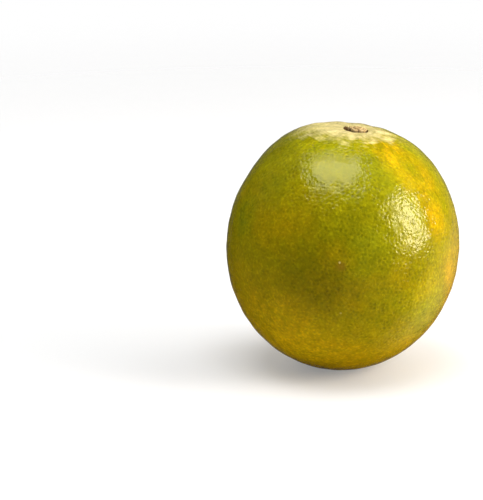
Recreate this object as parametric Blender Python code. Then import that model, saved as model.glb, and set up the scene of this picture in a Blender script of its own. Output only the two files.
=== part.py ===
"""A whole pera orange, picked with its calyx button still in the stem end.

Run with: blender --background --python part.py
Metres, +Z up. The fruit stands on the small flat spot at its flower end, whose
centre is the origin, and its core leans a little towards +X.
"""

import math

import bmesh
import bpy
from mathutils import Matrix, Vector

# Driving dimensions of the fruit
GIRTH = 0.0675  # diameter at the widest place
CORE_LENGTH = 0.0724  # stem end to flower end, before the basin and the rest spot
SHOULDERS = 2.13  # 2 makes the stem half a plain ellipse, and more makes it squarer
LEAN = math.radians(5.7)  # the core's angle from upright, towards +X
REST_RADIUS = 0.0065  # of the flat spot that the fruit stands on

# Gentle swells and flats that make the fruit a little lopsided: each is its angle
# from the stem end, its azimuth, both in degrees, how far it rises, and its spread
# in degrees
CHEEKS = [
    (32, 155, 0.00065, 20),
    (56, 170, -0.00040, 16),
    (58, 10, -0.00035, 16),
    (75, 60, 0.00030, 30),
    (105, 250, 0.00025, 35),
]

# The shallow basin round the stem end, with furrows running out of it
BASIN_DEPTH = 0.0016
BASIN_WIDTH = 0.0078
FURROWS = 11
FURROW_DEPTH = 0.00022
FURROW_REACH = 0.0110  # distance from the core where the furrows are deepest
FURROW_SPREAD = 0.0060
FURROW_WANDER = 0.9  # in radians of a furrow's turn, so that no two are the same width

# The socket in the basin that the calyx button sits in
SOCKET_RADIUS = 0.0037
SOCKET_DEPTH = 0.0013
SOCKET_WALL = 0.0002  # how far the wall leans out on its way up
LIP = 0.00025  # rounding where the wall meets the skin

# The calyx button: five short sepals round the broken end of the fruit stalk
BUTTON_RADIUS = 0.00268
BUTTON_OFFSET = Vector((0.00033, 0.0))  # the button sits against the socket's +X side
BUTTON_GAP = 0.0003  # clear space under the button
SEPALS = 5
SEPAL_SWELL = 0.00016
SEPAL_TURN = math.radians(20.0)
BUTTON_RISE = 0.0001  # of the sepals' edge above the bottom of the basin
SEPAL_CROWN = 0.00012  # and of their middle above their edge
STALK_RADIUS = 0.0011
STALK_RISE = 0.00035  # of the stalk's broken end above the sepals

# The scar of the flower's style, a small dish in the flat spot
STYLE_SCAR_RADIUS = 0.0013
STYLE_SCAR_DEPTH = 0.0004

# Fineness of the faceted surfaces
MERIDIANS = 72
RING_STEP = 0.0027
CROWN_REACH = 0.0200  # the rings are closer together this far out from the stem end
CROWN_RINGS = 8
BUTTON_SIDES = 40
SHARP_EDGE = math.radians(9.0)  # flatter edges are shaded smooth

HALF_GIRTH = GIRTH / 2
HALF_CORE = CORE_LENGTH / 2
END_CURVATURE_RADIUS = HALF_GIRTH**2 / HALF_CORE


def clear_scene():
    for thing in list(bpy.data.objects):
        bpy.data.objects.remove(thing)


def skin_material(name, colour, roughness):
    material = bpy.data.materials.new(name)
    material.use_nodes = True
    surface = material.node_tree.nodes["Principled BSDF"]
    surface.inputs["Base Color"].default_value = (*colour, 1.0)
    surface.inputs["Roughness"].default_value = roughness
    surface.inputs["Metallic"].default_value = 0.0
    return material


def direction(polar, azimuth):
    across = math.sin(polar)
    return Vector((across * math.cos(azimuth), across * math.sin(azimuth), math.cos(polar)))


def plain_radius(polar):
    """Distance from the fruit's middle to its skin, before cheeks, basin and furrows."""
    fullness = SHOULDERS if polar < math.pi / 2 else 2.0
    across = abs(math.sin(polar)) / HALF_GIRTH
    along = abs(math.cos(polar)) / HALF_CORE
    return (across**fullness + along**fullness) ** (-1.0 / fullness)


def cheek_rise(outwards):
    """How far the swells and flats lift the skin in a direction from the middle."""
    rise = 0.0
    for polar, azimuth, height, spread in CHEEKS:
        away = outwards.angle(direction(math.radians(polar), math.radians(azimuth)))
        rise += height * math.exp(-((away / math.radians(spread)) ** 2))
    return rise


def stem_end_relief(away, azimuth):
    """How far the skin sinks at a distance from the stem end: the basin and its furrows."""
    basin = BASIN_DEPTH * math.exp(-((away / BASIN_WIDTH) ** 2))
    fade = math.exp(-(((away - FURROW_REACH) / FURROW_SPREAD) ** 2))
    wave = 0.5 + 0.5 * math.cos(FURROWS * azimuth + FURROW_WANDER * math.sin(2 * azimuth))
    return basin + FURROW_DEPTH * fade * wave


def skin_point(polar, azimuth, sunk=0.0):
    """A point of the skin in the fruit's own axes: its middle at 0 and its stem end at +Z."""
    outwards = direction(polar, azimuth)
    radius = plain_radius(polar)
    relief = stem_end_relief(radius * polar, azimuth)
    return outwards * (radius + cheek_rise(outwards) - relief - sunk)


def stand_up():
    """The matrix from the fruit's own axes to the world, where it stands on its rest spot."""
    along, across = math.cos(LEAN) * HALF_CORE, math.sin(LEAN) * HALF_GIRTH
    reach_down = math.hypot(along, across)
    contact_shift = (HALF_CORE**2 - HALF_GIRTH**2) * math.sin(LEAN) * math.cos(LEAN) / reach_down
    flattened = REST_RADIUS**2 / (2 * END_CURVATURE_RADIUS)
    lift = Matrix.Translation((contact_shift, 0.0, reach_down - flattened))
    return lift @ Matrix.Rotation(LEAN, 4, "Y")


def ring_rows():
    """(angle from the stem end, depth sunk) of each ring of skin points, stem end first."""
    floor_radius = SOCKET_RADIUS - SOCKET_WALL
    rows = [(floor_radius * share / HALF_CORE, SOCKET_DEPTH) for share in (0.35, 0.7, 1.0)]
    rows.append((SOCKET_RADIUS / HALF_CORE, LIP))
    lip = (SOCKET_RADIUS + LIP) / HALF_CORE
    rows.append((lip, 0.0))
    crown = CROWN_REACH / HALF_CORE
    for i in range(1, CROWN_RINGS + 1):
        rows.append((lip + (crown - lip) * (i / CROWN_RINGS) ** 1.4, 0.0))
    count = round((math.pi - crown) * HALF_CORE / RING_STEP)
    rows += [(crown + (math.pi - crown) * i / count, 0.0) for i in range(1, count)]
    return rows


def add_ring(mesh, polar, sunk):
    turns = [2 * math.pi * i / MERIDIANS for i in range(MERIDIANS)]
    return [mesh.verts.new(skin_point(polar, turn, sunk)) for turn in turns]


def join_rings(mesh, upper, lower):
    count = len(upper)
    for i in range(count):
        j = (i + 1) % count
        mesh.faces.new((upper[i], lower[i], lower[j], upper[j]))


def fan(mesh, tip, ring):
    """Triangles from a point to a ring that runs anticlockwise seen from the tip's side."""
    count = len(ring)
    for i in range(count):
        mesh.faces.new((tip, ring[i], ring[(i + 1) % count]))


def object_from(name, mesh, material):
    data = bpy.data.meshes.new(name)
    bmesh.ops.recalc_face_normals(mesh, faces=mesh.faces)
    mesh.to_mesh(data)
    mesh.free()
    data.shade_smooth()
    data.set_sharp_from_angle(angle=SHARP_EDGE)
    data.materials.append(material)
    thing = bpy.data.objects.new(name, data)
    bpy.context.scene.collection.objects.link(thing)
    return thing


def style_scar_cutter():
    """A ball whose top pushes a shallow dish into the flat spot, where the core comes out."""
    ball = (STYLE_SCAR_RADIUS**2 + STYLE_SCAR_DEPTH**2) / (2 * STYLE_SCAR_DEPTH)
    core_foot = stand_up() @ Vector((0.0, 0.0, -HALF_CORE))
    mesh = bmesh.new()
    bmesh.ops.create_uvsphere(mesh, u_segments=24, v_segments=24, radius=ball)
    bmesh.ops.translate(mesh, verts=mesh.verts, vec=(core_foot.x, 0.0, STYLE_SCAR_DEPTH - ball))
    data = bpy.data.meshes.new("style_scar_cutter")
    mesh.to_mesh(data)
    mesh.free()
    cutter = bpy.data.objects.new("style_scar_cutter", data)
    cutter.hide_render = True
    cutter.display_type = "WIRE"
    bpy.context.scene.collection.objects.link(cutter)
    return cutter


def make_fruit():
    mesh = bmesh.new()
    tip = mesh.verts.new(skin_point(0.0, 0.0, SOCKET_DEPTH))
    rings = [add_ring(mesh, polar, sunk) for polar, sunk in ring_rows()]
    foot = mesh.verts.new(skin_point(math.pi, 0.0))
    fan(mesh, tip, rings[0])
    for upper, lower in zip(rings, rings[1:]):
        join_rings(mesh, upper, lower)
    fan(mesh, foot, rings[-1][::-1])
    bmesh.ops.transform(mesh, matrix=stand_up(), verts=mesh.verts)

    everything = mesh.verts[:] + mesh.edges[:] + mesh.faces[:]
    cut = bmesh.ops.bisect_plane(
        mesh, geom=everything, plane_co=(0, 0, 0), plane_no=(0, 0, -1), clear_outer=True
    )
    rim = [part for part in cut["geom_cut"] if isinstance(part, bmesh.types.BMEdge)]
    bmesh.ops.contextual_create(mesh, geom=rim)

    skin = skin_material("orange_skin", (0.40, 0.31, 0.03), 0.35)
    fruit = object_from("fruit", mesh, skin)
    scar = fruit.modifiers.new("style_scar", "BOOLEAN")
    scar.operation = "DIFFERENCE"
    scar.object = style_scar_cutter()
    return fruit


def button_radius(azimuth):
    return BUTTON_RADIUS + SEPAL_SWELL * math.cos(SEPALS * (azimuth - SEPAL_TURN))


def make_button():
    """A low disc with five rounded sepals and the stalk's broken end standing in its middle."""
    floor = skin_point(0.0, 0.0, SOCKET_DEPTH).z + BUTTON_GAP
    brim = skin_point(0.0, 0.0).z + BUTTON_RISE
    crown = brim + SEPAL_CROWN
    stalk_top = crown + STALK_RISE
    # Each row is (share of the sepal outline, extra radius, height)
    rows = [
        (0.88, 0.0, floor),
        (0.97, 0.0, floor + 0.0003),
        (1.00, 0.0, brim - 0.0003),
        (0.95, 0.0, brim - 0.00005),
        (0.80, 0.0, brim + 0.00008),
        (0.58, 0.0, crown),
        (0.0, STALK_RADIUS * 1.12, crown - 0.00004),
        (0.0, STALK_RADIUS, stalk_top - 0.00008),
        (0.0, STALK_RADIUS * 0.86, stalk_top),
        (0.0, STALK_RADIUS * 0.40, stalk_top - 0.00014),
    ]
    mesh = bmesh.new()
    rings = []
    for share, extra, height in rows:
        ring = []
        for i in range(BUTTON_SIDES):
            turn = 2 * math.pi * i / BUTTON_SIDES
            radius = share * button_radius(turn) + extra
            x = BUTTON_OFFSET.x + radius * math.cos(turn)
            y = BUTTON_OFFSET.y + radius * math.sin(turn)
            ring.append(mesh.verts.new((x, y, height)))
        rings.append(ring)
    mesh.faces.new(rings[0][::-1])
    for lower, upper in zip(rings, rings[1:]):
        join_rings(mesh, upper, lower)
    mesh.faces.new(rings[-1])
    bmesh.ops.transform(mesh, matrix=stand_up(), verts=mesh.verts)
    bark = skin_material("calyx_bark", (0.40, 0.27, 0.13), 0.85)
    return object_from("calyx_button", mesh, bark)


clear_scene()
make_fruit()
make_button()
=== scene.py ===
# %% [markdown]
# # A pera orange, from its form to its finish
#
# A pera orange is a sweet orange that is a little taller than it is wide, and it often
# turns from green to orange while it is still on sale. A plain solid of the fruit gives its
# true size and place. This lesson dresses that solid: a peel with thousands of oil glands,
# a dry calyx button in the stem end, colours that turn from green to gold, and a soft
# studio to see them in.

# %% Load the frame
import math

import bmesh
import bpy
import numpy as np
from mathutils import Matrix, Vector


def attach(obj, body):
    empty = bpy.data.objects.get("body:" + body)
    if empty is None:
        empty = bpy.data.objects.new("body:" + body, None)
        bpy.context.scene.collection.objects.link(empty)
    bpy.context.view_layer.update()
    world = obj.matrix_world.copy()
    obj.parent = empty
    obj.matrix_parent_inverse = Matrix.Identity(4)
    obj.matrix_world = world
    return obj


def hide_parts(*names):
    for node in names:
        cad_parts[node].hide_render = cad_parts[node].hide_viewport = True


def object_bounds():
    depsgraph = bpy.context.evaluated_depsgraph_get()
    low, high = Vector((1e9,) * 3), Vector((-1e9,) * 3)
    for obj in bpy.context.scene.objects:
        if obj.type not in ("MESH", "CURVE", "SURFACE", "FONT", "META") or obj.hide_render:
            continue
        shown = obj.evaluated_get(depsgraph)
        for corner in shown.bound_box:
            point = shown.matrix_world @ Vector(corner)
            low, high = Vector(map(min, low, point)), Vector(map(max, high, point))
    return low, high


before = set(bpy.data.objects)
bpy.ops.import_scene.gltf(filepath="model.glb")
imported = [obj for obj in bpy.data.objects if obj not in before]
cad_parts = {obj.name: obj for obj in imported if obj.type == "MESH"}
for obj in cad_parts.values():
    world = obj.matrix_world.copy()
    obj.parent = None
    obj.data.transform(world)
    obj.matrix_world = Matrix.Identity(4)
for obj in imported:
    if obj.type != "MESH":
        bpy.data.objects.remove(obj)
cad_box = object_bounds()
print("The solid is", [round(1000 * side, 1) for side in cad_box[1] - cad_box[0]], "mm")

# %% [markdown]
# ## The form of the fruit
#
# Growth gives a citrus fruit a simple form: every point of the skin can be seen from the
# middle, so the whole surface is one distance for each direction. A sculpted mesh would
# have to be measured to know where it is. A formula is exact, and the same few sizes that
# made the solid also make the peel here, so the two agree to a fraction of a millimetre.

# %% Sizes of the fruit, in metres
GIRTH = 0.0675
CORE_LENGTH = 0.0724
SHOULDERS = 2.13  # 2 makes the stem half a plain ellipse, and more makes it squarer
LEAN = math.radians(5.7)  # the core's angle from upright, towards +X
REST_RADIUS = 0.0065  # of the flat spot that the fruit stands on
HALF_GIRTH = GIRTH / 2
HALF_CORE = CORE_LENGTH / 2

# Gentle swells and flats: the angle from the stem end and the azimuth, both in degrees,
# then how far the skin rises, and over how many degrees
CHEEKS = [
    (32, 155, 0.00065, 20),
    (56, 170, -0.00040, 16),
    (58, 10, -0.00035, 16),
    (75, 60, 0.00030, 30),
    (105, 250, 0.00025, 35),
]

# %% Sizes of the stem end, in metres
BASIN_DEPTH = 0.0011  # a little less than in the solid, where the peel fills in
BASIN_WIDTH = 0.0078
FURROWS = 11
FURROW_DEPTH = 0.00022
FURROW_REACH = 0.0110
FURROW_SPREAD = 0.0060
FURROW_WANDER = 0.9
SOCKET_RADIUS = 0.0035
SOCKET_DEPTH = 0.0013
SOCKET_WALL = 0.0002
LIP = 0.00025


# %% The skin's distance from the middle, in every direction
def toward(polar, azimuth):
    """The unit direction at an angle from the stem end and an azimuth, both in degrees."""
    polar, azimuth = math.radians(polar), math.radians(azimuth)
    across = math.sin(polar)
    return np.array([across * math.cos(azimuth), across * math.sin(azimuth), math.cos(polar)])


def polar_and_azimuth(outwards):
    return np.arccos(np.clip(outwards[:, 2], -1, 1)), np.arctan2(outwards[:, 1], outwards[:, 0])


def plain_radius(outwards):
    across = np.hypot(outwards[:, 0], outwards[:, 1]) / HALF_GIRTH
    along = np.abs(outwards[:, 2]) / HALF_CORE
    fullness = np.where(outwards[:, 2] > 0, SHOULDERS, 2.0)
    return (across**fullness + along**fullness) ** (-1.0 / fullness)


def cheek_rise(outwards):
    rise = np.zeros(len(outwards))
    for polar, azimuth, height, spread in CHEEKS:
        away = np.arccos(np.clip(outwards @ toward(polar, azimuth), -1, 1))
        rise += height * np.exp(-((away / math.radians(spread)) ** 2))
    return rise


def stem_end_relief(away, azimuth):
    basin = BASIN_DEPTH * np.exp(-((away / BASIN_WIDTH) ** 2))
    fade = np.exp(-(((away - FURROW_REACH) / FURROW_SPREAD) ** 2))
    wave = 0.5 + 0.5 * np.cos(FURROWS * azimuth + FURROW_WANDER * np.sin(2 * azimuth))
    return basin + FURROW_DEPTH * fade * wave


def skin_radius(outwards):
    radius = plain_radius(outwards)
    polar, azimuth = polar_and_azimuth(outwards)
    return radius + cheek_rise(outwards) - stem_end_relief(radius * polar, azimuth)


def socket_sink(across):
    """How far the socket lowers the skin at a distance from the core."""
    floor_edge = SOCKET_RADIUS - SOCKET_WALL
    edges = [floor_edge, SOCKET_RADIUS, SOCKET_RADIUS + LIP]
    return np.interp(across, edges, [SOCKET_DEPTH, LIP, 0])


# %% Standing the fruit on its rest spot
def stand_up():
    """The matrix from the fruit's own axes, with its core along Z, to the world."""
    along, across = math.cos(LEAN) * HALF_CORE, math.sin(LEAN) * HALF_GIRTH
    reach_down = math.hypot(along, across)
    shift = (HALF_CORE**2 - HALF_GIRTH**2) * math.sin(LEAN) * math.cos(LEAN) / reach_down
    flattened = REST_RADIUS**2 * HALF_CORE / (2 * HALF_GIRTH**2)
    return Matrix.Translation((shift, 0, reach_down - flattened)) @ Matrix.Rotation(LEAN, 4, "Y")


STAND = np.array(stand_up())
MIDDLE = STAND[:3, 3]
print("The fruit's middle is at", [round(1000 * float(x), 2) for x in MIDDLE], "mm")


def to_world(points):
    return points @ STAND[:3, :3].T + MIDDLE


# %% [markdown]
# ## The net of oil glands
#
# An orange's peel is full of oil glands, each a dimple about a millimetre across. They sit
# close but never overlap, with no rows or columns. A texture could only suggest them, so
# Geometry Nodes lay them out for real. The glands are points scattered on a ball, with a
# least distance between any two. The convex hull of points on a ball is a net of triangles
# that joins each gland to its neighbours, and one subdivision adds a point between each two
# glands. So every dimple has a point of the mesh at its bottom and a ring of points round
# its rim, and no triangle is spent anywhere else.
#
# At both ends of the core the glands stop, and rings of points follow the edge of the
# socket and of the style's scar instead.


# %% Helpers for building node trees
def connect(tree, value, socket):
    if isinstance(value, bpy.types.NodeSocket):
        tree.links.new(value, socket)
    else:
        socket.default_value = value


def add(tree, kind, **settings):
    node = tree.nodes.new(kind)
    for name, value in settings.items():
        setattr(node, name, value)
    return node


def feed(tree, node, **sockets):
    """Links or sets a node's inputs: the names are the sockets' names with _ for a space."""
    for name, value in sockets.items():
        connect(tree, value, node.inputs[name.replace("_", " ")])
    return node


def calculate(tree, operation, *values, kind="ShaderNodeMath"):
    """A Math or Vector Math node with its inputs given in order."""
    node = add(tree, kind, operation=operation)
    for socket, value in zip(node.inputs, values):
        connect(tree, value, socket)
    return node.outputs["Value" if operation in ("LENGTH", "DOT_PRODUCT") else 0]


def vector(tree, operation, *values):
    return calculate(tree, operation, *values, kind="ShaderNodeVectorMath")


def separate(tree, value, part):
    node = add(tree, "ShaderNodeSeparateXYZ")
    tree.links.new(value, node.inputs[0])
    return node.outputs[part]


# %% The tree that lays out the glands
GLANDS_APART = 1.02e-3 / HALF_GIRTH  # least distance, on a ball of radius 1
GLAND_TRIES = 11000  # candidates for each square unit, of which most are too close
GLAND_SEED = 11
MM = 1e-3 / HALF_CORE  # a millimetre from the core, as an angle

# Each ring is its distance from the core in millimetres and its number of points
SOCKET_RINGS = [(0.5, 12), (1.1, 20), (1.9, 30), (2.7, 42)]
SOCKET_RINGS += [(3.3, 60), (3.5, 60), (3.75, 60), (4.25, 50)]
SOCKET_LIMIT = 4.85  # no glands closer to the core than this
SCAR_RINGS = [(0.2, 6), (0.5, 12), (0.8, 16), (1.1, 20), (1.35, 24), (1.7, 24)]
SCAR_LIMIT = 2.2


def rings_round_the_core(tree, gathered, rings, end):
    for away, count in rings:
        level = end * math.cos(away * MM)
        ring = add(tree, "GeometryNodeMeshCircle")
        feed(tree, ring, Vertices=count, Radius=math.sin(away * MM))
        lifted = feed(tree, add(tree, "GeometryNodeTransform"), Translation=(0, 0, level))
        feed(tree, lifted, Geometry=ring.outputs[0])
        tree.links.new(lifted.outputs[0], gathered.inputs[0])


def gland_net_tree():
    tree = bpy.data.node_groups.new("gland_net", "GeometryNodeTree")
    kinds = {"Geometry": "Geometry", "Glands apart": "Float", "Tries": "Float"}
    kinds |= {"Seed": "Int", "Peel": "Material"}
    for socket, kind in kinds.items():
        tree.interface.new_socket(socket, in_out="INPUT", socket_type="NodeSocket" + kind)
    tree.interface.new_socket("Geometry", in_out="OUTPUT", socket_type="NodeSocketGeometry")
    given = add(tree, "NodeGroupInput").outputs
    position = add(tree, "GeometryNodeInputPosition").outputs[0]

    # Scatter the glands on a ball
    ball = feed(tree, add(tree, "GeometryNodeMeshIcoSphere"), Radius=1.0, Subdivisions=6)
    scatter = add(tree, "GeometryNodeDistributePointsOnFaces", distribute_method="POISSON")
    feed(tree, scatter, Mesh=ball.outputs["Mesh"], Distance_Min=given["Glands apart"])
    feed(tree, scatter, Density_Max=given["Tries"], Seed=given["Seed"])
    onto_ball = vector(tree, "NORMALIZE", position)
    spread = feed(tree, add(tree, "GeometryNodeSetPosition"), Position=onto_ball)
    feed(tree, spread, Geometry=scatter.outputs["Points"])

    # Clear both ends of the core, and put rings there
    level = separate(tree, position, "Z")
    in_socket = calculate(tree, "GREATER_THAN", level, math.cos(SOCKET_LIMIT * MM))
    in_scar = calculate(tree, "LESS_THAN", level, -math.cos(SCAR_LIMIT * MM))
    at_an_end = calculate(tree, "ADD", in_socket, in_scar)
    kept = feed(tree, add(tree, "GeometryNodeDeleteGeometry", domain="POINT"), Selection=at_an_end)
    feed(tree, kept, Geometry=spread.outputs[0])
    gathered = add(tree, "GeometryNodeJoinGeometry")
    rings_round_the_core(tree, gathered, SOCKET_RINGS, 1)
    rings_round_the_core(tree, gathered, SCAR_RINGS, -1)
    tree.links.new(kept.outputs[0], gathered.inputs[0])

    # Join them into a net, give each gland a tone of its own, and add points between glands
    hull = feed(tree, add(tree, "GeometryNodeConvexHull"), Geometry=gathered.outputs[0])
    tone = add(tree, "FunctionNodeRandomValue", data_type="FLOAT")
    tree.links.new(given["Seed"], tone.inputs["Seed"])
    toned = add(tree, "GeometryNodeStoreNamedAttribute", data_type="FLOAT", domain="POINT")
    feed(tree, toned, Geometry=hull.outputs[0], Name="tone", Value=tone.outputs[1])
    finer = feed(tree, add(tree, "GeometryNodeSubdivideMesh"), Mesh=toned.outputs[0], Level=1)

    # The glands' own points are still on the ball, and the points between them are just inside
    on_ball = calculate(tree, "GREATER_THAN", vector(tree, "LENGTH", position), 1 - 1e-5)
    is_gland = calculate(tree, "SUBTRACT", on_ball, at_an_end)
    marked = add(tree, "GeometryNodeStoreNamedAttribute", data_type="FLOAT", domain="POINT")
    is_gland = calculate(tree, "MAXIMUM", is_gland, 0.0)
    feed(tree, marked, Geometry=finer.outputs[0], Name="gland", Value=is_gland)
    whole = feed(tree, add(tree, "GeometryNodeRealizeInstances"), Geometry=marked.outputs[0])
    coloured = feed(tree, add(tree, "GeometryNodeSetMaterial"), Geometry=whole.outputs[0])
    feed(tree, coloured, Material=given["Peel"])
    tree.links.new(coloured.outputs[0], add(tree, "NodeGroupOutput").inputs[0])
    return tree


# %% Run the tree and keep its mesh
peel = bpy.data.materials.new("turning_peel")


def made_by(tree, name, values):
    """The mesh that a Geometry Nodes tree makes, with the tree's inputs set by identifier."""
    holder = bpy.data.objects.new(name, bpy.data.meshes.new(name))
    bpy.context.scene.collection.objects.link(holder)
    nodes = holder.modifiers.new(name, "NODES")
    nodes.node_group = tree
    for item in tree.interface.items_tree:
        if item.item_type == "SOCKET" and item.in_out == "INPUT" and item.name in values:
            nodes[item.identifier] = values[item.name]
    holder.data.update()
    evaluated = holder.evaluated_get(bpy.context.evaluated_depsgraph_get())
    mesh = bpy.data.meshes.new_from_object(evaluated)
    holder.modifiers.clear()
    bpy.data.objects.remove(holder)
    return mesh


net = made_by(
    gland_net_tree(),
    "gland_net",
    {"Glands apart": GLANDS_APART, "Tries": GLAND_TRIES, "Seed": GLAND_SEED, "Peel": peel},
)
net_triangles = sum(len(face.vertices) - 2 for face in net.polygons)
print(f"The net has {len(net.vertices)} points and {net_triangles} triangles")

# %% [markdown]
# ## From the net to the peel
#
# Each point of the net is a direction from the fruit's middle. The skin's formula moves it
# out to where the peel is. Then come the things that a formula leaves too tidy: broad,
# shallow unevenness from the segments and pith below, a lip of the socket that wanders, and
# glands that are pressed in by different amounts, least at one smooth place on the shoulder.
# At the other end, the small dish is the scar that the flower's style left.

# %% Sizes of the unevenness, in metres
PIT_DEPTH = 0.00009  # of a deep gland
PEBBLES = 60  # waves that add up to the unevenness
PEBBLE_HEIGHT = 0.00003
PEBBLE_SPANS = (0.0028, 0.0070)  # from crest to crest
PEBBLE_SEED = 5
FLAT_SOFTNESS = 0.00015  # how gently the rest spot's edge turns
LIP_WANDER = 0.05  # of the socket's radius
LIP_REACH = 0.0055  # from the core, to where the lip's wandering has faded
STYLE_SCAR_RADIUS = 0.0013
STYLE_SCAR_DEPTH = 0.0004
STYLE_SCAR_LEVEL = 0.005  # above the table, which keeps the scar off the stem end

# A smooth place on the shoulder, where the glands are shallow: its angle from the stem end,
# azimuth, half length and half width in degrees, and the share of the relief that it loses
SMOOTH_PLACE = (37.6, -103.5, 7.0, 12.0)
SMOOTHED = 0.68


def attribute_values(mesh, name):
    values = np.empty(len(mesh.vertices), np.float32)
    mesh.attributes[name].data.foreach_get("value", values)
    return values.astype(float)


def points_of(mesh):
    flat = np.empty(3 * len(mesh.vertices), np.float32)
    mesh.vertices.foreach_get("co", flat)
    return flat.reshape(-1, 3).astype(float)


def pebbled(outwards):
    """A sum of waves in random directions, which never repeats and has no rows."""
    choose = np.random.default_rng(PEBBLE_SEED)
    rise = np.zeros(len(outwards))
    for _ in range(PEBBLES):
        heading = choose.normal(size=3)
        heading /= np.linalg.norm(heading)
        waves = 2 * math.pi * HALF_GIRTH / choose.uniform(*PEBBLE_SPANS)
        rise += np.cos(waves * (outwards @ heading) + choose.uniform(0, 2 * math.pi))
    return PEBBLE_HEIGHT * rise / math.sqrt(PEBBLES / 2)


def with_a_wandering_lip(outwards):
    """Moves directions near the socket in and out, so that its edge isn't a drawn circle."""
    polar, azimuth = polar_and_azimuth(outwards)
    near = np.exp(-((polar * HALF_CORE / LIP_REACH) ** 4))
    wander = np.cos(3 * azimuth + 0.8) + 0.6 * np.cos(5 * azimuth + 2.2) + 0.4 * np.cos(8 * azimuth)
    moved = polar * (1 + LIP_WANDER * near * wander)
    return np.column_stack(
        [np.sin(moved) * np.cos(azimuth), np.sin(moved) * np.sin(azimuth), np.cos(moved)]
    )


# %% Shape the peel
def shape_peel(mesh):
    ideal = points_of(mesh)
    ideal /= np.linalg.norm(ideal, axis=1)[:, None]
    polar, _ = polar_and_azimuth(ideal)
    sunk = np.where(polar < math.pi / 4, socket_sink(HALF_CORE * polar), 0.0)
    gland, tone = attribute_values(mesh, "gland"), attribute_values(mesh, "tone")
    pits = PIT_DEPTH * gland * (0.5 + 0.5 * tone)
    from_smooth = np.arccos(np.clip(ideal @ toward(*SMOOTH_PLACE[:2]), -1, 1))
    pits *= 1 - SMOOTHED * np.exp(-((from_smooth / math.radians(SMOOTH_PLACE[3])) ** 4))
    outwards = with_a_wandering_lip(ideal)
    radius = skin_radius(outwards) - sunk + pebbled(outwards)
    world = to_world(outwards * radius[:, None])
    height = world[:, 2]
    world[:, 2] = 0.5 * (height + np.sqrt(height**2 + FLAT_SOFTNESS**2))
    world -= (outwards @ STAND[:3, :3].T) * pits[:, None]
    scar = to_world(np.array([[0, 0, -HALF_CORE]]))[0]
    from_scar = np.hypot(world[:, 0] - scar[0], world[:, 1] - scar[1]) / STYLE_SCAR_RADIUS
    dish = STYLE_SCAR_DEPTH * np.clip(1 - from_scar**2, 0, 1)
    dish = np.where(height < STYLE_SCAR_LEVEL, dish, 0.0)
    world[:, 2] += dish - world[:, 2].min()
    mesh.vertices.foreach_set("co", world.astype(np.float32).ravel())
    mesh.update()
    mesh.shade_smooth()


shape_peel(net)
fruit = bpy.data.objects.new("fruit_peel", net)
bpy.context.scene.collection.objects.link(fruit)
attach(fruit, "root")
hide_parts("fruit")
stood = points_of(net)
print("The peel stands", round(1000 * (stood[:, 2].max() - stood[:, 2].min()), 2), "mm tall")

# %% [markdown]
# ## Colour: how ripe each part is
#
# The green of a peel fades and the orange comes up in patches, most at the flower end and
# on the side that met the sun. So the peel isn't painted colour by colour. Each patch adds
# to one number, the ripeness, or takes from it, and a ramp turns ripeness into a colour from
# dark green through olive and gold to orange. Noise on the same number then gives
# mottling that always has a true peel's colours.
#
# Patches are placed by direction from the fruit's middle, in its own axes, so they wrap
# round it with no seam. One node group makes a patch, and it is used for each of them.


# %% Helpers for colours and masks
def mapped(tree, value, low, high, to_low=0.0, to_high=1.0):
    """Carries a value from one range to another, easing in and out."""
    node = add(tree, "ShaderNodeMapRange", interpolation_type="SMOOTHSTEP")
    feed(tree, node, Value=value, From_Min=low, From_Max=high, To_Min=to_low, To_Max=to_high)
    return node.outputs[0]


def noise(tree, where, per_metre, detail=2.0, roughness=0.5):
    node = add(tree, "ShaderNodeTexNoise")
    feed(tree, node, Vector=where, Scale=per_metre, Detail=detail, Roughness=roughness)
    return node.outputs["Fac"]


def times(tree, first, second):
    return calculate(tree, "MULTIPLY", first, second)


def swayed(tree, value, by, amount):
    """Adds noise to a value: noise lies around a half, so the middle of it changes nothing."""
    centred = calculate(tree, "SUBTRACT", by, 0.5)
    return calculate(tree, "MULTIPLY_ADD", centred, amount, value)


def layered(tree, where, value, layers):
    """Adds noises to a value. Each layer is its scale for a metre, its detail and its amount."""
    for per_metre, detail, amount in layers:
        value = swayed(tree, value, noise(tree, where, per_metre, detail), amount)
    return value


def mixed(tree, factor, first, second, blend_type="MIX"):
    node = add(tree, "ShaderNodeMix", data_type="RGBA", blend_type=blend_type)
    connect(tree, factor, node.inputs[0])
    connect(tree, first, node.inputs[6])
    connect(tree, second, node.inputs[7])
    return node.outputs[2]


def new_group(name, inputs, outputs):
    """A shader node group, from its sockets' names and kinds."""
    tree = bpy.data.node_groups.new(name, "ShaderNodeTree")
    for way, sockets in (("INPUT", inputs), ("OUTPUT", outputs)):
        for socket, kind in sockets.items():
            tree.interface.new_socket(socket, in_out=way, socket_type="NodeSocket" + kind)
    return tree, add(tree, "NodeGroupInput").outputs, add(tree, "NodeGroupOutput").inputs


def use_group(tree, group, **sockets):
    return feed(tree, add(tree, "ShaderNodeGroup", node_tree=group), **sockets).outputs


# %% A node group for one patch
def ripe_patch_group():
    inputs = {
        "Outwards": "Vector",
        "Centre": "Vector",
        "Turned": "Vector",
        "Half size": "Vector",
        "Softness": "Float",
        "Wobble": "Float",
    }
    tree, given, out = new_group("ripe_patch", inputs, {"Mask": "Float"})
    local = add(tree, "ShaderNodeMapping", vector_type="TEXTURE")
    feed(tree, local, Vector=given["Outwards"], Location=given["Centre"])
    feed(tree, local, Rotation=given["Turned"], Scale=given["Half size"])
    reach = calculate(tree, "ADD", vector(tree, "LENGTH", local.outputs[0]), given["Wobble"])
    outside = calculate(tree, "ADD", 1.0, given["Softness"])
    inside = calculate(tree, "SUBTRACT", 1.0, given["Softness"])
    tree.links.new(mapped(tree, reach, outside, inside), out["Mask"])
    return tree


RIPE_PATCH = ripe_patch_group()


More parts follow.
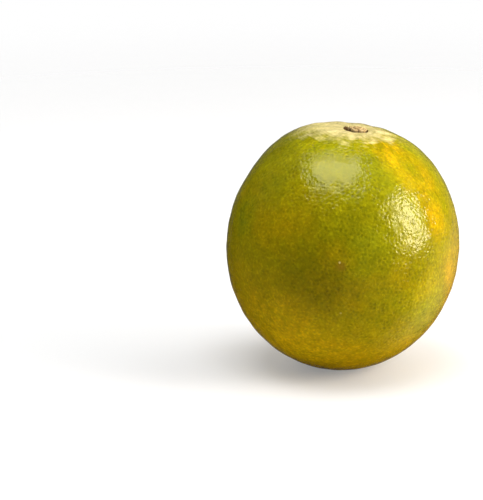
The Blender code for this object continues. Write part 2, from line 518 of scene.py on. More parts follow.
def patch(tree, outwards, wobble, polar, azimuth, along, across, turn=0.0, softness=0.6):
    """A soft oval on the peel: its centre and half sizes are angles, in degrees."""
    upright = Matrix.Rotation(math.radians(azimuth), 4, "Z")
    tipped = Matrix.Rotation(math.radians(polar), 4, "Y")
    spun = Matrix.Rotation(math.radians(turn), 4, "Z")
    half_size = (math.sin(math.radians(along)), math.sin(math.radians(across)), 0.8)
    return use_group(
        tree,
        RIPE_PATCH,
        Outwards=outwards,
        Centre=tuple(float(part) for part in toward(polar, azimuth)),
        Turned=tuple((upright @ tipped @ spun).to_euler()),
        Half_size=half_size,
        Softness=softness,
        Wobble=wobble,
    )["Mask"]


def with_patches(tree, outwards, wobble, value, patches):
    """Adds each patch's amount to a value, inside its oval."""
    for polar, azimuth, along, across, turn, amount in patches.values():
        mask = patch(tree, outwards, wobble, polar, azimuth, along, across, turn)
        value = calculate(tree, "MULTIPLY_ADD", mask, amount, value)
    return value


# %% Lay out the ripeness
GREEN_END, RIPE_END = 0.12, 0.87  # ripeness at the stem end and the flower end
RIPENING_LEVELS = (0.80, -0.65)  # up the core, from 1 at the stem end to -1 at the other
EDGE_BLUR = [(95.0, 3.0, 1.6)]  # a layer of noise that breaks up the patches' outlines
MOTTLING = [(150.0, 2.0, 0.32), (700.0, 2.0, 0.38)]

# Each patch: angle from the stem end, azimuth, half length, half width, turn, amount
PATCHES = {
    "warm left side": (64, -132, 15, 24, 0, 0.38),
    "left shoulder": (50, -155, 16, 18, 0, 0.14),
    "green left shoulder": (56, -140, 8, 10, 0, -0.24),
    "green left edge": (73, -153, 10, 8, 0, -0.40),
    "warm middle": (79, -94, 6, 9, 0, 0.24),
    "green middle": (79, -83, 10, 7, 0, -0.14),
    "right of the middle": (97, -62, 14, 24, 0, -0.10),
    "lower right": (113, -60, 14, 30, 0, -0.26),
    "green lower right edge": (110, -34, 15, 10, 0, -0.28),
    "sunny side": (78, 8, 48, 42, 0, 0.26),
    "streak at the stem": (22, -50, 11, 12, 0, 0.40),
    "orange by the stem": (21, -26, 6, 9, 0, 0.16),
    "streak on the shoulder": (41, -50, 17, 6, 25, 0.42),
    "second streak": (35, -38, 10, 9, 0, 0.30),
    "spot on the shoulder": (42, -27, 7, 5, 0, 0.30),
    "lime by the streak": (34, -76, 9, 9, 0, -0.16),
    "lime right of the middle": (78, -76, 11, 9, 0, -0.18),
    "gold right of the middle": (87, -61, 7, 6, 0, 0.18),
    "lime by the edge": (77, -37, 9, 6, 0, -0.16),
    "end of the streak": (65, -38, 13, 8, 0, 0.22),
    "orange upper right": (60, -36, 11, 6, 0, 0.28),
    "orange on the edge": (83, -24, 12, 7, 0, 0.22),
    "orange flank": (88, -12, 20, 14, 0, 0.09),
    "behind the sunny side": (60, 75, 22, 26, 20, 0.28),
    "green back": (66, 140, 26, 30, 0, -0.10),
    "gold on the back": (96, 120, 16, 34, -15, 0.22),
}


def own_directions(tree):
    """Each point's direction from the fruit's middle, with the core along Z."""
    where = add(tree, "ShaderNodeTexCoord").outputs["Object"]
    turned = add(tree, "ShaderNodeMapping", vector_type="TEXTURE")
    middle = tuple(float(x) for x in MIDDLE)
    feed(tree, turned, Vector=where, Location=middle, Rotation=(0, LEAN, 0))
    return where, vector(tree, "NORMALIZE", turned.outputs[0])


def patchy_ripeness(tree, where, outwards):
    level = separate(tree, outwards, "Z")
    ripeness = mapped(tree, level, *RIPENING_LEVELS, GREEN_END, RIPE_END)
    wobble = layered(tree, where, 0.0, EDGE_BLUR)
    ripeness = with_patches(tree, outwards, wobble, ripeness, PATCHES)
    return layered(tree, where, ripeness, MOTTLING)


# %% Lay out the painted light and shade, and the paler and duller places
SHADE_BLUR = [(120.0, 3.0, 1.2)]

# Each as above, and its amount is a share of the colour's brightness. Some are the peel's own
# paler and duller tone. Others are painted light and shade: rim light on the right, bounce
# light low down and on the left flank, glows round the two gleams, and shade in the middle.
TONE_AND_PAINTED_LIGHT = {
    # Painted shade in the middle
    "painted shade in the middle": (95, -102, 15, 19, 0, -0.24),
    "lime shoulder": (32, -95, 12, 36, 0, 0.24),
    "bright lower left": (118, -105, 16, 26, 0, 0.16),
    "bright right": (86, -32, 22, 12, 0, 0.10),
    "bright streak": (44, -48, 14, 9, 20, 0.18),
    # Painted glow above the upper gleam
    "painted glow above the upper gleam": (36, -112, 8, 12, 0, 0.20),
    "calmer gold": (27, -47, 7, 9, 0, -0.20),
    "bright left of the stem": (22, 180, 10, 24, 0, 0.22),
    # Painted glow beside the right gleam
    "painted glow beside the right gleam": (59, -62, 17, 15, 0, 0.22),
    "bright right flank": (66, -30, 18, 8, 0, 0.14),
    # Painted rim light at the upper right
    "painted rim light at the upper right": (23, -8, 11, 18, 0, 0.30),
    "bright by the stem": (20, -100, 8, 20, 0, 0.14),
    # Painted glow below the upper gleam
    "painted glow below the upper gleam": (52, -107, 16, 20, 0, 0.30),
    # Painted rim light on the right
    "painted rim light on the right": (54, -4, 30, 12, 0, 0.22),
    "dusky lower right": (118, -58, 14, 24, 0, -0.08),
    # Painted bounce light on the left flank
    "painted bounce light on the left flank": (86, -122, 34, 24, 0, 0.15),
    # Painted bounce light on the lower end
    "painted bounce light on the lower end": (148, -90, 26, 60, 0, 0.14),
    # Painted bounce light, lifting the foot out of its shadow
    "painted bounce light at the foot": (141, -122, 10, 18, 0, 0.20),
    # Painted light on the lower right rim
    "painted light on the lower right rim": (107, -40, 20, 13, 0, 0.30),
    "lime below the collar": (20, -88, 6, 50, 0, 0.16),
    "bright middle": (71, -80, 6, 6, 0, 0.22),
    "bright below the middle": (84, -88, 6, 9, 0, 0.14),
    "dusky right shoulder": (52, -42, 6, 5, 0, -0.14),
    "dusky upper middle": (61, -83, 6, 9, 0, -0.18),
}


# Multiplies the colour by these patches, painted light and shade among them
def patchy_tone_and_painted_light(tree, where, outwards):
    wobble = layered(tree, where, 0.0, SHADE_BLUR)
    return with_patches(tree, outwards, wobble, 1.0, TONE_AND_PAINTED_LIGHT)


# %% Colours of ripening, from none to full
RIPENING = [
    (0.00, (0.190, 0.186, 0.003)),
    (0.25, (0.235, 0.211, 0.002)),
    (0.50, (0.258, 0.207, 0.002)),
    (0.75, (0.328, 0.230, 0.002)),
    (1.00, (0.465, 0.279, 0.002)),
]


def ramp(tree, value, stops):
    node = add(tree, "ShaderNodeValToRGB")
    tree.links.new(value, node.inputs[0])
    elements = node.color_ramp.elements
    while len(elements) < len(stops):
        elements.new(0.5)
    for element, (place, colour) in zip(elements, stops):
        element.position = place
        element.color = (*colour, 1)
    return node.outputs[0]


# %% [markdown]
# ## The stem end's pale skin and painted sheen, streaks and socket
#
# Round the stem the peel is paler, and its cream colour runs out in streaks between the
# furrows. Part of that cream is painted sheen: the light from behind, as the stem end's
# slopes and ridges would reflect it. Thin riper streaks run out from there too. Streaks that
# spread from the core could be drawn on a flat map, but its middle would pinch. Noise on a
# cone does it without a map: the azimuth goes round a circle in the noise, and the distance
# from the core goes slowly up it. The cream, the thin streaks and the calyx's fibres all
# need this, so it is a node group. Its second output does the opposite: it changes fast
# with the distance and slowly round the core, as the wrinkles of a collar do.


# %% A node group for streaks round the core
OTHER_END = 100.0  # millimetres, added below the middle so that nothing repeats there


def core_streaks_group():
    inputs = {"Outwards": "Vector", "Count": "Float", "Change with distance": "Float"}
    outputs = {"Streaks": "Float", "Rings": "Float", "From core": "Float"}
    tree, given, out = new_group("core_streaks", inputs, outputs)
    flat = vector(tree, "MULTIPLY", given["Outwards"], (1, 1, 0))
    from_core = times(tree, vector(tree, "LENGTH", flat), 1000 * HALF_CORE)
    below = calculate(tree, "LESS_THAN", separate(tree, given["Outwards"], "Z"), 0.0)
    tree.links.new(calculate(tree, "MULTIPLY_ADD", below, OTHER_END, from_core), out["From core"])
    count = calculate(tree, "DIVIDE", given["Count"], 2 * math.pi)
    circle = vector(tree, "SCALE", vector(tree, "NORMALIZE", flat))
    tree.links.new(count, circle.node.inputs["Scale"])
    lift = add(tree, "ShaderNodeCombineXYZ")
    feed(tree, lift, Z=times(tree, from_core, given["Change with distance"]))
    cone = vector(tree, "ADD", circle, lift.outputs[0])
    tree.links.new(noise(tree, cone, 1.0, detail=3.0, roughness=0.6), out["Streaks"])
    stack = feed(tree, add(tree, "ShaderNodeCombineXYZ"), Z=from_core).outputs[0]
    stack = vector(tree, "ADD", vector(tree, "NORMALIZE", flat), stack)
    tree.links.new(noise(tree, stack, 1.0, detail=2.0, roughness=0.6), out["Rings"])
    return tree


CORE_STREAKS = core_streaks_group()

# %% Colours of the stem end
# Partly the paler skin's own colour and partly painted sheen
CREAM_AND_PAINTED_SHEEN = (0.75, 0.62, 0.27, 1)
SOCKET_BROWN = (0.11, 0.060, 0.022, 1)
SOCKET_EDGE = (3.85, 3.55)  # in millimetres from the core
THIN_STREAKS_FADE = (27.0, 10.0)  # likewise: where they end, and where they are strongest


def streaked_from_the_core(tree, outwards, ripeness):
    """Adds thin riper and greener streaks, which run away from the stem and fade out."""
    thin = use_group(tree, CORE_STREAKS, Outwards=outwards, Count=70.0, Change_with_distance=0.22)
    near = mapped(tree, thin["From core"], *THIN_STREAKS_FADE)
    streak = times(tree, calculate(tree, "SUBTRACT", thin["Streaks"], 0.5), 1.5)
    return calculate(tree, "MULTIPLY_ADD", streak, near, ripeness)


def pale_crown(tree, where, outwards, colour):
    broad = use_group(tree, CORE_STREAKS, Outwards=outwards, Count=16.0, Change_with_distance=0.20)
    fine = use_group(tree, CORE_STREAKS, Outwards=outwards, Count=34.0, Change_with_distance=0.35)
    cloudy = noise(tree, where, 300.0, detail=2.0)
    wobble = swayed(tree, 0.0, broad["Streaks"], 0.5)
    wobble = swayed(tree, wobble, fine["Streaks"], 0.35)
    wobble = swayed(tree, wobble, cloudy, 0.8)
    wobble = swayed(tree, wobble, broad["Rings"], 0.9)
    pale = patch(tree, outwards, wobble, 6, 160, 20, 16, softness=0.42)
    streaked = mapped(tree, fine["Streaks"], 0.40, 0.56, 0.95, 0.82)
    streaked = times(tree, streaked, mapped(tree, cloudy, 0.60, 0.38, 0.78, 1.0))
    pale = times(tree, pale, streaked)
    pale = times(tree, pale, mapped(tree, fine["From core"], 6.0, 18.0, 1.0, 0.74))
    # Cream: the paler skin round the stem, with painted sheen in it
    colour = mixed(tree, pale, colour, CREAM_AND_PAINTED_SHEEN)
    inside = mapped(tree, fine["From core"], *SOCKET_EDGE)
    return mixed(tree, inside, colour, SOCKET_BROWN), pale, broad["Rings"]


# %% [markdown]
# ## Glands in colour, gloss and relief
#
# The mesh has only a handful of points to each dimple, so its smooth normals pass over most
# of them. The net gave each gland's own point a value of 1 and the points round it 0. That
# value says how deep in a dimple any spot is, and the material uses it three times: as the
# height of a Bump node, to dull the bottom a little, and to darken the oil in the gland.
# The dark dots show most where the peel is still green.
#
# Between the glands the skin has finer waves, down to what one can just see in the gleam.
# They are noise in the Bump node too, because a mesh that fine would be very heavy.

# %% Effects of a gland
DIMPLE = (0.04, 0.95)  # where a dimple starts and where it is deepest, on the gland's value
SHALLOWEST = 0.4  # dimple, as a share of the deepest
SKIN_WAVES = [(560.0, 0.0, 0.85), (1250.0, 1.0, 1.35)]
FINEST_WAVES = [(2600.0, 1.0, 0.06)]


def dimples(tree, where):
    gland = add(tree, "ShaderNodeAttribute", attribute_name="gland").outputs["Fac"]
    tone = add(tree, "ShaderNodeAttribute", attribute_name="tone").outputs["Fac"]
    uneven = swayed(tree, gland, noise(tree, where, 1500.0, detail=1.0), 0.50)
    uneven = swayed(tree, uneven, tone, 0.35)
    present = mapped(tree, noise(tree, where, 330.0, detail=1.0), 0.36, 0.62, 0.25, 1.0)
    return times(tree, mapped(tree, uneven, *DIMPLE), present), tone


def relief(tree, where, rough, dimple, tone, wrinkles):
    """Height of the skin's fine relief: its glands, its waves and the collar's wrinkles."""
    depth = calculate(tree, "MULTIPLY_ADD", tone, 1 - SHALLOWEST, SHALLOWEST)
    height = times(tree, dimple, times(tree, depth, -1.0))
    height = layered(tree, where, height, SKIN_WAVES)
    height = calculate(tree, "MULTIPLY_ADD", height, rough, wrinkles)
    return layered(tree, where, height, FINEST_WAVES)


# %% Small marks
# The angle from the stem end and the azimuth, in degrees, and the radius in millimetres
RUBBED_SPOT = (83.5, -91.2, 1.2)
PALE_POINT = (81.8, -92.1, 0.30)
FAINT_POINT = (107.4, -88.8, 0.30)
SCAR_SPOT = (180, 0, 1000 * STYLE_SCAR_RADIUS)
FLECK_CELLS = 115.0  # to a metre
PALE_SPECK = (0.62, 0.50, 0.14, 1)
RUSSET = (0.20, 0.085, 0.012, 1)
SCAR_BROWN = (0.10, 0.050, 0.016, 1)


def spot(tree, outwards, polar, azimuth, millimetres, softness=0.45):
    size = math.degrees(millimetres * 1e-3 / HALF_GIRTH)
    return patch(tree, outwards, 0.0, polar, azimuth, size, size, softness=softness)


def marked(tree, where, outwards, colour):
    """Adds the rubbed spot on the front, the style's scar and a few russet flecks all over."""
    rubbed = times(tree, spot(tree, outwards, *RUBBED_SPOT, 0.8), 0.50)
    colour = mixed(tree, rubbed, colour, RUSSET)
    colour = mixed(tree, spot(tree, outwards, *PALE_POINT), colour, PALE_SPECK)
    faint = times(tree, spot(tree, outwards, *FAINT_POINT), 0.40)
    colour = mixed(tree, faint, colour, PALE_SPECK)
    style_scar = spot(tree, outwards, *SCAR_SPOT, 0.25)
    colour = mixed(tree, times(tree, style_scar, 0.85), colour, SCAR_BROWN)
    cells = feed(tree, add(tree, "ShaderNodeTexVoronoi"), Vector=where, Scale=FLECK_CELLS)
    chosen = calculate(tree, "GREATER_THAN", separate(tree, cells.outputs["Color"], "X"), 0.62)
    fleck = mapped(tree, cells.outputs["Distance"], 0.040, 0.018)
    fleck = times(tree, times(tree, fleck, chosen), 0.55)
    return mixed(tree, fleck, colour, RUSSET)


# %% Brightness of each spot
SPECKLES = [(520.0, 1.0, 0.50), (1150.0, 0.0, 0.42)]
MEAN_BRIGHTNESS = 1.07


def brightness(tree, where, outwards, ripeness, dimple, pale, rough):
    """Speckles, lighter lines and painted glints between the glands, dark oil in them, and the
    broad patches of tone and of painted light and shade.
    """
    speckle = layered(tree, where, 0.0, SPECKLES)
    # Lighter strokes between the glands, partly tone and partly painted glints of the gloss
    lines_and_painted_glints = mapped(tree, noise(tree, where, 1300.0, detail=1.0), 0.50, 0.72, 0.0, 0.32)
    speckle = calculate(tree, "ADD", speckle, lines_and_painted_glints)
    unripe = mapped(tree, ripeness, 0.85, 0.30, -0.05, -0.20)
    speckle = calculate(tree, "MULTIPLY_ADD", dimple, unripe, speckle)
    calm = calculate(tree, "MULTIPLY_ADD", pale, -0.80, 1.0)
    speckle = times(tree, speckle, rough)
    speckle = calculate(tree, "MULTIPLY_ADD", speckle, calm, MEAN_BRIGHTNESS)
    return times(tree, speckle, patchy_tone_and_painted_light(tree, where, outwards))


# %% Put the peel's material together
PEEL_GLOSS = 0.105  # roughness where the skin is plain
DIMPLE_DEPTH = 0.000068  # of the fine relief, in metres


def finish_peel():
    peel.use_nodes = True
    tree = peel.node_tree
    skin = tree.nodes["Principled BSDF"]
    where, outwards = own_directions(tree)
    dimple, tone = dimples(tree, where)

    ripeness = patchy_ripeness(tree, where, outwards)
    ripeness = streaked_from_the_core(tree, outwards, ripeness)
    ripeness = swayed(tree, ripeness, tone, 0.10)
    ripeness = calculate(tree, "MULTIPLY_ADD", dimple, -0.10, ripeness)
    colour = ramp(tree, ripeness, RIPENING)
    colour, pale, wrinkles = pale_crown(tree, where, outwards, colour)
    colour = marked(tree, where, outwards, colour)
    smooth = patch(tree, outwards, 0.0, *SMOOTH_PLACE, softness=0.25)
    rough = calculate(tree, "MULTIPLY_ADD", smooth, -SMOOTHED, 1.0)
    bright = brightness(tree, where, outwards, ripeness, dimple, pale, rough)
    colour = mixed(tree, 1.0, colour, bright, "MULTIPLY")
    tree.links.new(colour, skin.inputs["Base Color"])

    gloss = swayed(tree, PEEL_GLOSS, noise(tree, where, 260.0), 0.08)
    gloss = calculate(tree, "MULTIPLY_ADD", dimple, 0.08, gloss)
    gloss = calculate(tree, "MULTIPLY_ADD", pale, 0.12, gloss)
    tree.links.new(gloss, skin.inputs["Roughness"])
    bump = add(tree, "ShaderNodeBump")
    collar = times(tree, times(tree, pale, wrinkles), 2.5)
    feed(tree, bump, Height=relief(tree, where, rough, dimple, tone, collar), Distance=DIMPLE_DEPTH)
    tree.links.new(bump.outputs[0], skin.inputs["Normal"])
    skin.inputs["Specular Tint"].default_value = (1, 0.95, 0.58, 1)


finish_peel()

# %% [markdown]
# ## The calyx button
#
# When the fruit is pulled off, the dry calyx stays behind in its socket, with the broken end
# of the stalk in its middle. Close up it is a low woody disc of five joined sepals, wrinkled
# from drying, with a hollow and ragged scar. Its outline and heights follow simple rules
# round the circle, so it is built from rings of points, like the solid, but with many more
# of them. Each point also keeps how hollow its spot is, and the material paints shade
# there: in the seams, round the stalk, in the scar and down the button's sides.

# %% Sizes of the button, in metres
BUTTON_RADIUS = 0.00248
BUTTON_OFFSET = 0.00068  # the button sits against the socket's +X side
BUTTON_GAP = 0.0003  # clear space under the button
SEPALS = 5
SEPAL_SWELL = 0.00016
SEPAL_TURN = math.radians(20.0)
SEPAL_RISE = 0.00038  # of the sepals' edge above the bottom of the basin
SEPAL_CROWN = 0.00014  # and of their middle above their edge
SEPAL_CURL = 0.00010  # up, just inside their edge
SEPAL_WARP = 0.00007
EDGE_RAGGED = 0.00006
EDGE_DROP = 0.00030
SEAM_DEPTH = 0.00022  # between two sepals
SEAM_WIDTH = 0.00016
WRINKLE_HEIGHT = 0.00003
STALK_RADIUS = 0.0011
STALK_RISE = 0.00030  # of its torn brink
BRINK_WIDTH = 0.00020
BRINK_RAGGED = 0.00005
SCAR_HOLLOW = 0.00016  # inside the brink
DITCH_DEPTH = 0.00009  # round the brink
DITCH_WIDTH = 0.00012
BUTTON_SIDES = 150
BUTTON_SEED = 3

# Distances from the button's middle to its rings, as shares of its radius
TOP_RINGS = [0.05, 0.10, 0.15, 0.20, 0.25, 0.29, 0.33, 0.36, 0.39, 0.42, 0.45, 0.49, 0.53]
TOP_RINGS += [0.58, 0.63, 0.68, 0.73, 0.78, 0.83, 0.87, 0.91, 0.94, 0.965, 0.985, 1.0]


def eased(value, low, high):
    share = np.clip((value - low) / (high - low), 0, 1)
    return share * share * (3 - 2 * share)


def ragged(turns, seed, waves, height):
    """A random wavy line round the circle."""
    choose = np.random.default_rng(seed)
    line = np.zeros_like(turns)
    for count in waves:
        line += choose.uniform(0.5, 1) * np.cos(count * turns + choose.uniform(0, 2 * math.pi))
    return height * line / math.sqrt(len(waves))


def button_heights(share, turns):
    """Height above the basin's bottom, and how hollow the spot is, for painted shade."""
    away = share * BUTTON_RADIUS
    seam = np.cos(SEPALS * (turns - SEPAL_TURN) / 2) * away * 2 / SEPALS
    in_seam = np.exp(-((seam / SEAM_WIDTH) ** 2)) * eased(share, 0.40, 0.75)
    height = SEPAL_RISE + SEPAL_CROWN * (1 - share**2) - SEAM_DEPTH * in_seam
    wrinkles = ragged(turns, BUTTON_SEED, range(17, 41, 3), WRINKLE_HEIGHT)
    height += wrinkles * eased(share, 0.42, 0.6) * (1 - eased(share, 0.9, 1.0))
    height += ragged(turns, BUTTON_SEED + 1, [1, 2, 3], SEPAL_WARP) * share
    curl = np.exp(-(((share - 0.88) / 0.07) ** 2)) * (1 - in_seam)
    height += SEPAL_CURL * curl
    brink = np.exp(-(((away - 0.92 * STALK_RADIUS) / BRINK_WIDTH) ** 2))
    height += (STALK_RISE + ragged(turns, BUTTON_SEED + 2, [2, 5, 9, 14], BRINK_RAGGED)) * brink
    in_scar = 1 - eased(away, 0.45 * STALK_RADIUS, 0.85 * STALK_RADIUS)
    height -= SCAR_HOLLOW * in_scar
    ditch = np.exp(-(((away - 1.32 * STALK_RADIUS) / DITCH_WIDTH) ** 2))
    height -= DITCH_DEPTH * ditch
    height -= EDGE_DROP * eased(share, 0.955, 1.0)
    # Painted shade: how dark the seams, the ditch, the scar and the edge are made
    hollow = 0.8 * in_seam + 0.7 * ditch + 0.75 * in_scar + 0.4 * eased(share, 0.95, 1.0)
    return height, np.clip(hollow, 0, 1)


# %% Build the button
def button_points():
    turns = np.linspace(0, 2 * math.pi, BUTTON_SIDES, endpoint=False)
    lobes = SEPAL_SWELL * np.cos(SEPALS * (turns - SEPAL_TURN))
    lobes += ragged(turns, BUTTON_SEED + 3, [2, 3, 7, 11, 16], EDGE_RAGGED)
    points, hollows = [], []

    def add_ring(share, radius_share, height, hollow):
        radius = radius_share * BUTTON_RADIUS + lobes * eased(share, 0.45, 0.95) * radius_share
        ring = [BUTTON_OFFSET + radius * np.cos(turns), radius * np.sin(turns), height]
        points.append(np.column_stack(ring))
        hollows.append(np.broadcast_to(hollow, turns.shape))

    for share in TOP_RINGS:
        add_ring(share, share, *button_heights(share, turns))
    edge = button_heights(1.0, turns)[0]
    bottom = BUTTON_GAP - SOCKET_DEPTH
    # Painted shade grows down the button's sides, under its edge
    for drop, radius_share in ((0.25, 0.985), (0.6, 0.96), (0.85, 0.93), (1.0, 0.88)):
        add_ring(1.0, radius_share, edge + (bottom - edge) * drop, 0.4 + 0.6 * drop)
    return np.concatenate(points), np.concatenate(hollows)


def make_button():
    points, hollows = button_points()
    rings = len(points) // BUTTON_SIDES
    basin_bottom = skin_radius(np.array([[0.0, 0.0, 1.0]]))[0]
    heights = (button_heights(0.0, np.zeros(1))[0][0], BUTTON_GAP - SOCKET_DEPTH)
    tips = [[BUTTON_OFFSET, 0, height] for height in heights]
    points = np.concatenate([points, tips]) + np.array([0, 0, basin_bottom])
    hollows = np.concatenate([hollows, [0.75, 1.0]])
    top, under = len(points) - 2, len(points) - 1
    faces = []
    for side in range(BUTTON_SIDES):
        after = (side + 1) % BUTTON_SIDES
        faces.append((top, side, after))
        for ring in range(rings - 1):
            inner, outer = ring * BUTTON_SIDES, (ring + 1) * BUTTON_SIDES
            faces.append((inner + side, outer + side, outer + after, inner + after))
        last = (rings - 1) * BUTTON_SIDES
        faces.append((last + side, under, last + after))
    mesh = bpy.data.meshes.new("dry_calyx")
    mesh.from_pydata(to_world(points).tolist(), [], faces)
    mesh.attributes.new("hollow", "FLOAT", "POINT").data.foreach_set("value", hollows)
    mesh.shade_smooth()
    button = bpy.data.objects.new("dry_calyx", mesh)
    bpy.context.scene.collection.objects.link(button)
    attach(button, "root")
    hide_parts("calyx_button")
    print("The button has", sum(len(face) - 2 for face in faces), "triangles")
    return button


button = make_button()

# %% [markdown]
# ## The button's finish
#
# Dry calyx is plant tissue, part wood and part cork: tan, with dark brown cracks in the cork
# and pale fibres where the stalk tore. It has no gloss. The streaks come from the same group
# as on the peel, closer together, and the hollow value paints shade in the same dark brown
# into the seams, the scar, the ditch round the stalk and down the button's sides.

# %% Material of the calyx
TAN = (0.54, 0.345, 0.12, 1)
PALE_FIBRE = (0.78, 0.60, 0.28, 1)
CRACK_AND_SHADE_BROWN = (0.070, 0.036, 0.014, 1)
FIBRE_DEPTH = 0.00008  # in metres


def finish_button():
    bark = bpy.data.materials.new("dry_calyx_bark")
    bark.use_nodes = True
    tree = bark.node_tree
    surface = tree.nodes["Principled BSDF"]
    where, outwards = own_directions(tree)
    fibres = use_group(tree, CORE_STREAKS, Outwards=outwards, Count=70.0, Change_with_distance=0.5)
    hollow = add(tree, "ShaderNodeAttribute", attribute_name="hollow").outputs["Fac"]
    cork = noise(tree, where, 2600.0, detail=4.0, roughness=0.65)
    colour = mixed(tree, mapped(tree, fibres["Streaks"], 0.42, 0.66), TAN, PALE_FIBRE)
    colour = mixed(tree, mapped(tree, cork, 0.56, 0.34, 0.0, 0.60), colour, CRACK_AND_SHADE_BROWN)
    # Painted shade: the hollow value, broken up by the cork, turns the colour dark brown
    deep = swayed(tree, hollow, cork, 0.7)
    colour = mixed(tree, mapped(tree, deep, 0.25, 0.85), colour, CRACK_AND_SHADE_BROWN)
    tree.links.new(colour, surface.inputs["Base Color"])
    tree.links.new(mapped(tree, cork, 0.3, 0.7, 0.92, 0.66), surface.inputs["Roughness"])
    height = calculate(tree, "ADD", fibres["Streaks"], cork)
    bump = feed(tree, add(tree, "ShaderNodeBump"), Height=height, Distance=FIBRE_DEPTH)
    tree.links.new(bump.outputs[0], surface.inputs["Normal"])
    button.data.materials.append(bark)


finish_button()

# %% [markdown]
# ## The studio
#
# A product photograph of fruit needs a broad overhead softbox for the gleam on the shoulder,
# a second one on the right for form, and white surroundings behind. A softbox is brightest
# in its middle, so each has a larger and dimmer one round it, and the gleam fades out over
# the dimples. Fills that the gloss doesn't show lift the far sides. The floor fades into
# white before its edge would show. The camera stands as a photographer would, a little
# above the fruit and far enough away that it looks undistorted.

# %% Camera
PHOTO_SIZE = (483, 500)
PIXELS_TO_METRE = 3440.0
CAMERA_AWAY = 0.9
CAMERA_HIGH = math.radians(16.0)
FRUIT_PIXEL = (342.6, 245.2)  # where the fruit's middle shows
SENSOR = 0.036


def aim_camera():
    middle = (cad_box[0] + cad_box[1]) / 2
    right = Vector((1, 0, 0))
    up = Vector((0, math.sin(CAMERA_HIGH), math.cos(CAMERA_HIGH)))
    back = Vector((0, -math.cos(CAMERA_HIGH), math.sin(CAMERA_HIGH)))
    left_of_fruit = (FRUIT_PIXEL[0] - PHOTO_SIZE[0] / 2) / PIXELS_TO_METRE
    below_fruit = (PHOTO_SIZE[1] / 2 - FRUIT_PIXEL[1]) / PIXELS_TO_METRE
    aim = middle - right * left_of_fruit - up * below_fruit
    data = bpy.data.cameras.new("camera")
    data.sensor_width = 1000 * SENSOR
    data.lens = 1000 * SENSOR * PIXELS_TO_METRE * CAMERA_AWAY / max(PHOTO_SIZE)
    camera = bpy.data.objects.new("camera", data)
    camera.location = middle + back * CAMERA_AWAY
    look = (aim - camera.location).normalized()
    camera.rotation_euler = look.to_track_quat("-Z", "Y").to_euler()
    bpy.context.scene.collection.objects.link(camera)
    bpy.context.scene.camera = camera
    print("Lens", round(data.lens, 1), "mm")


aim_camera()


# %% Lights
def softbox(
    name, direction, away, width, depth, radiance, level=(1, 0, 0), colour=(1, 1, 1), in_gloss=True
):
    """A rectangular area light that faces the fruit's middle, its width along level."""
    data = bpy.data.lights.new(name, "AREA")
    data.shape = "RECTANGLE"
    data.size, data.size_y = width, depth
    data.energy = radiance * math.pi * width * depth
    data.color = colour
    lamp = bpy.data.objects.new(name, data)
    lamp.visible_glossy = in_gloss
    backwards = Vector(direction).normalized()
    upwards = backwards.cross(Vector(level)).normalized()
    turned = Matrix((upwards.cross(backwards), upwards, backwards)).transposed()
    lamp.matrix_world = Matrix.Translation(Vector(MIDDLE) + away * backwards) @ turned.to_4x4()
    bpy.context.scene.collection.objects.link(lamp)
    return lamp


WARM_WHITE = (1.0, 0.93, 0.86)
softbox("overhead_softbox", (-0.12, -0.155, 0.98), 0.6, 0.43, 0.30, 2.8)
softbox("overhead_halo", (-0.12, -0.10, 0.98), 0.62, 0.50, 0.64, 1.7)
softbox("right_softbox", (0.91, -0.24, 0.32), 0.6, 0.21, 0.35, 11.2, (0.15, 1, 0), WARM_WHITE)
softbox("right_halo", (0.88, -0.30, 0.31), 0.62, 0.38, 0.50, 2.6, (0.15, 1, 0), WARM_WHITE)
softbox("upper_right_fill", (0.62, 0.16, 0.75), 0.6, 0.5, 0.5, 2.2, in_gloss=False)
softbox("right_back_fill", (0.85, 0.50, 0.20), 0.6, 0.5, 0.5, 1.3, in_gloss=False)
softbox("left_back_fill", (-0.75, 0.45, 0.50), 0.6, 0.5, 0.5, 1.5, in_gloss=False)


# %% Floor and surroundings
FLOOR_FADES = (0.22, 0.50)  # how far from the fruit the floor starts to fade, and ends
FLOOR_WHITE = 0.955
FLOOR_IN_LIGHT = 0.75  # darker to the light that it throws back on the fruit
FLOOR_GLOW = 0.26  # lifts the shadow as the camera sees it, and lights nothing


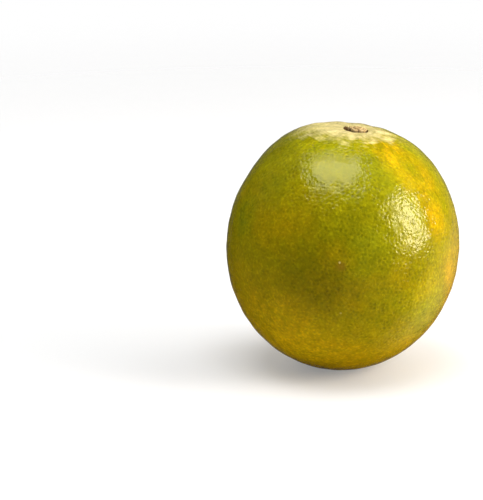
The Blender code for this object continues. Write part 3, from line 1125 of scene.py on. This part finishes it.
def pale_floor():
    mesh = bmesh.new()
    bmesh.ops.create_grid(mesh, x_segments=1, y_segments=1, size=FLOOR_FADES[1])
    data = bpy.data.meshes.new("floor")
    mesh.to_mesh(data)
    mesh.free()
    floor = bpy.data.objects.new("floor", data)
    paint = bpy.data.materials.new("pale_floor")
    paint.use_nodes = True
    surface = paint.node_tree.nodes["Principled BSDF"]
    tree = paint.node_tree
    seen = add(tree, "ShaderNodeLightPath").outputs["Is Camera Ray"]
    base = mapped(tree, seen, 0, 1, FLOOR_IN_LIGHT, FLOOR_WHITE - FLOOR_GLOW)
    tree.links.new(base, surface.inputs["Base Color"])
    tree.links.new(mapped(tree, seen, 0, 1, 0.0, FLOOR_GLOW), surface.inputs["Emission Color"])
    surface.inputs["Emission Strength"].default_value = 1.0
    away = vector(tree, "LENGTH", add(tree, "ShaderNodeTexCoord").outputs["Object"])
    tree.links.new(mapped(tree, away, *FLOOR_FADES, 1.0, 0.0), surface.inputs["Alpha"])
    surface.inputs["Roughness"].default_value = 0.9
    data.materials.append(paint)
    bpy.context.scene.collection.objects.link(floor)
    floor.visible_glossy = False


pale_floor()


def white_surroundings(front, behind, table_behind, table_right):
    """White to the camera. The fruit is lit mostly from behind, and its gloss shows the table."""
    world = bpy.data.worlds.new("studio")
    world.use_nodes = True
    tree = world.node_tree
    direction = add(tree, "ShaderNodeTexCoord").outputs["Generated"]
    light_path = add(tree, "ShaderNodeLightPath").outputs
    right, back, up = (separate(tree, direction, axis) for axis in "XYZ")
    lit = mapped(tree, back, -0.1, 0.6, front, behind)
    far = mapped(tree, back, 0.70, 1.00, 0.0, table_behind)
    far = times(tree, far, mapped(tree, right, -0.60, -0.15))
    near = mapped(tree, right, 0.25, 0.75, 0.0, table_right)
    near = times(tree, near, mapped(tree, up, -0.02, -0.22))
    near = times(tree, near, mapped(tree, back, -0.20, 0.30))
    strength = mixed(tree, light_path["Is Glossy Ray"], lit, calculate(tree, "ADD", far, near))
    strength = mixed(tree, light_path["Is Camera Ray"], strength, (1, 1, 1, 1))
    tree.links.new(strength, tree.nodes["Background"].inputs["Strength"])
    tree.nodes["Background"].inputs["Color"].default_value = (1, 1, 1, 1)
    bpy.context.scene.world = world


white_surroundings(front=0.03, behind=0.15, table_behind=0.12, table_right=0.38)
bpy.context.scene.view_settings.view_transform = "Standard"
